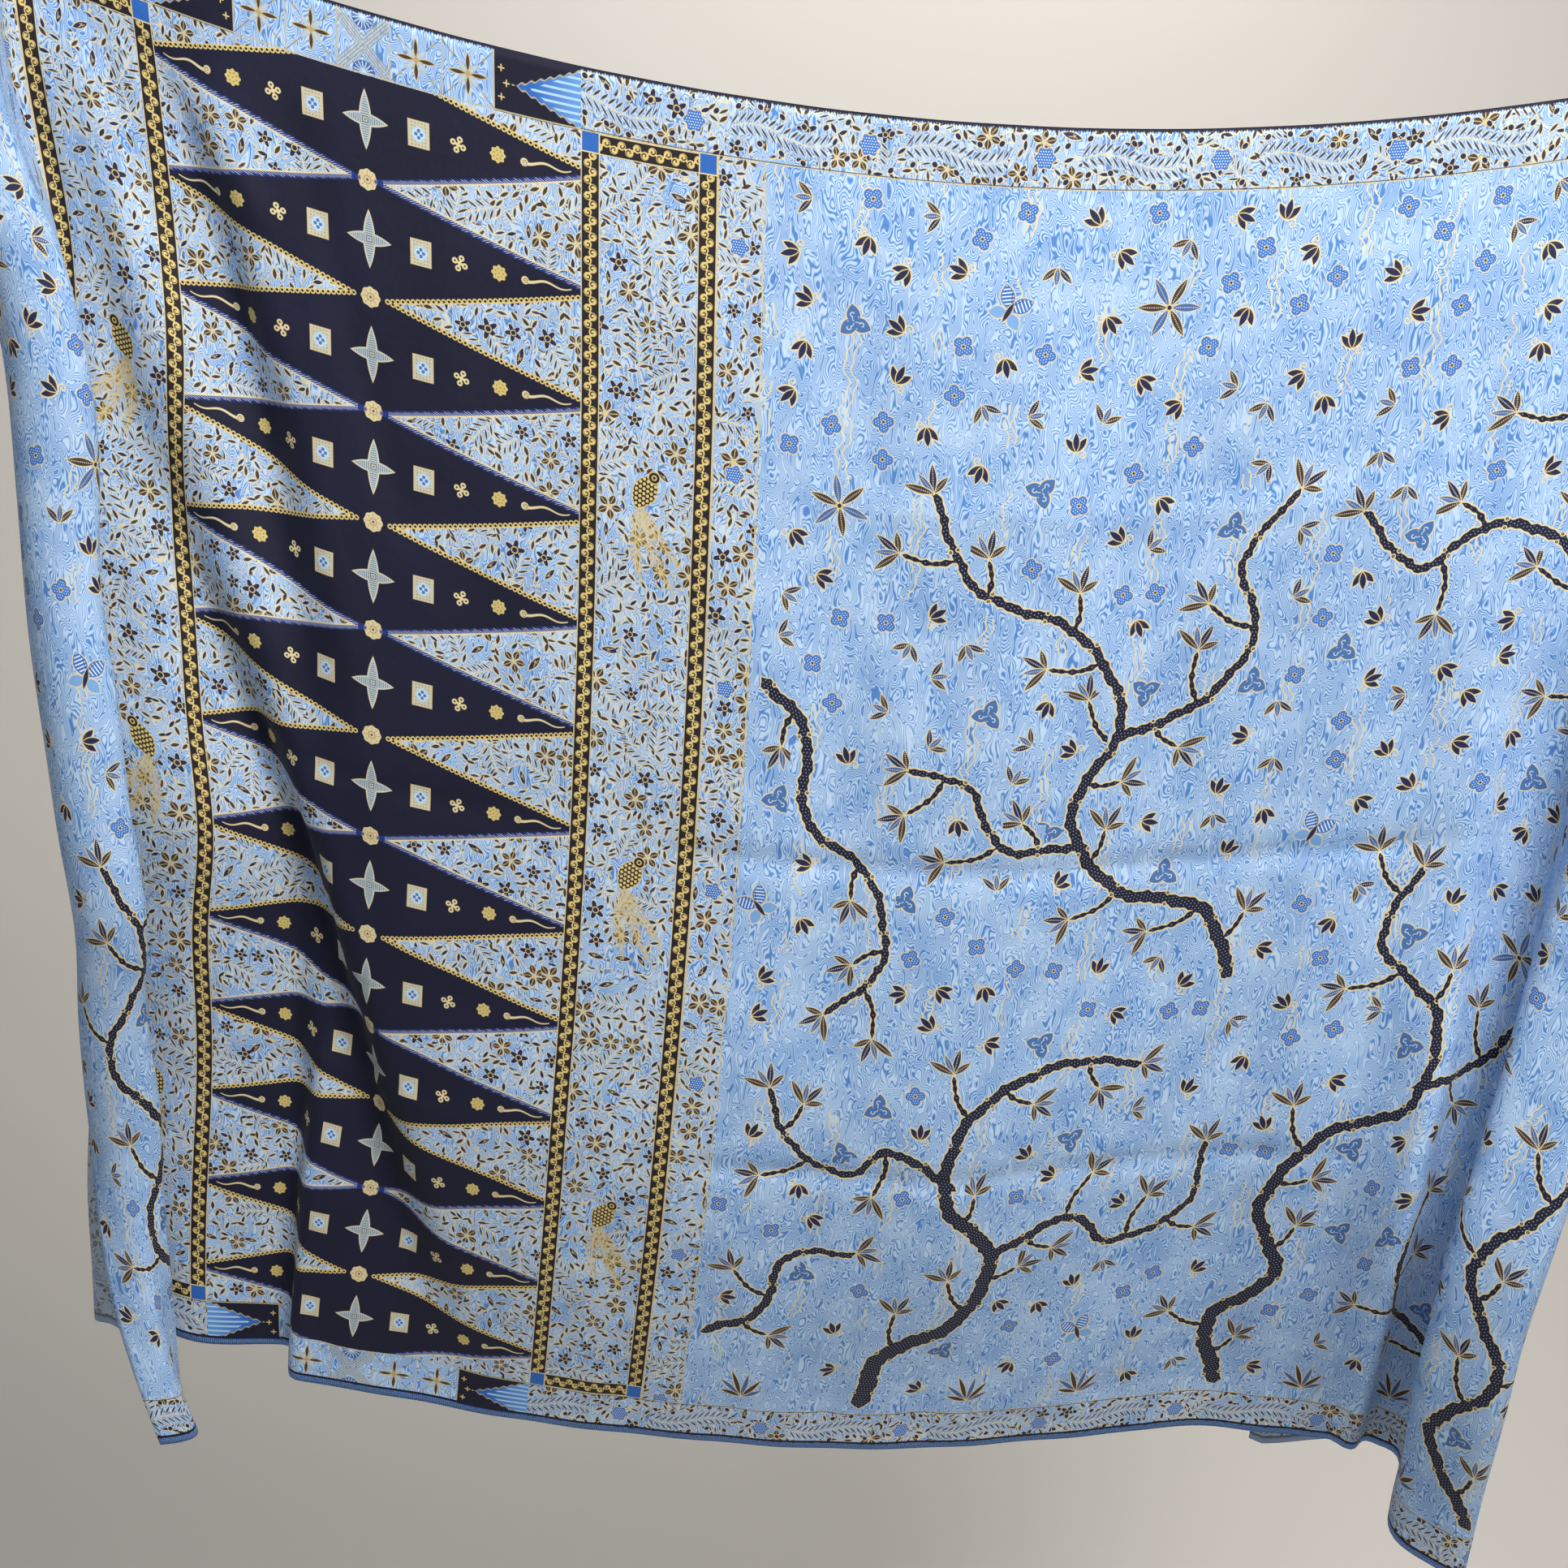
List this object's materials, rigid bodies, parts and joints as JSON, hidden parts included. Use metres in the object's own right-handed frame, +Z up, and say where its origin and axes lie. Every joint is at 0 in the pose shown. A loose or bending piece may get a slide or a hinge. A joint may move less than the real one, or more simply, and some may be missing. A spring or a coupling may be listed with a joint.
{
  "type": "batik sarong",
  "caption": "Unsewn length of batik cotton hung open by two points of its upper edge, with a head panel of facing triangles, folded ends and a sagging upper edge.",
  "frame": {"origin": "left point where the upper edge is held, as the wearer or a rail holds it up", "axes": "+Z up, +X along the cloth to the viewer's right, the printed front faces -Y"},
  "size_m": [1.2574, 0.2996, 1.2104],
  "materials": {
    "printed_cotton": "fine cotton, hand-drawn wax print in blues, navy and gold, slight sheen"
  },
  "bodies": {
    "root": {"left_fold": "printed_cotton", "front_panel": "printed_cotton", "right_fold": "printed_cotton"}
  },
  "joints": []
}
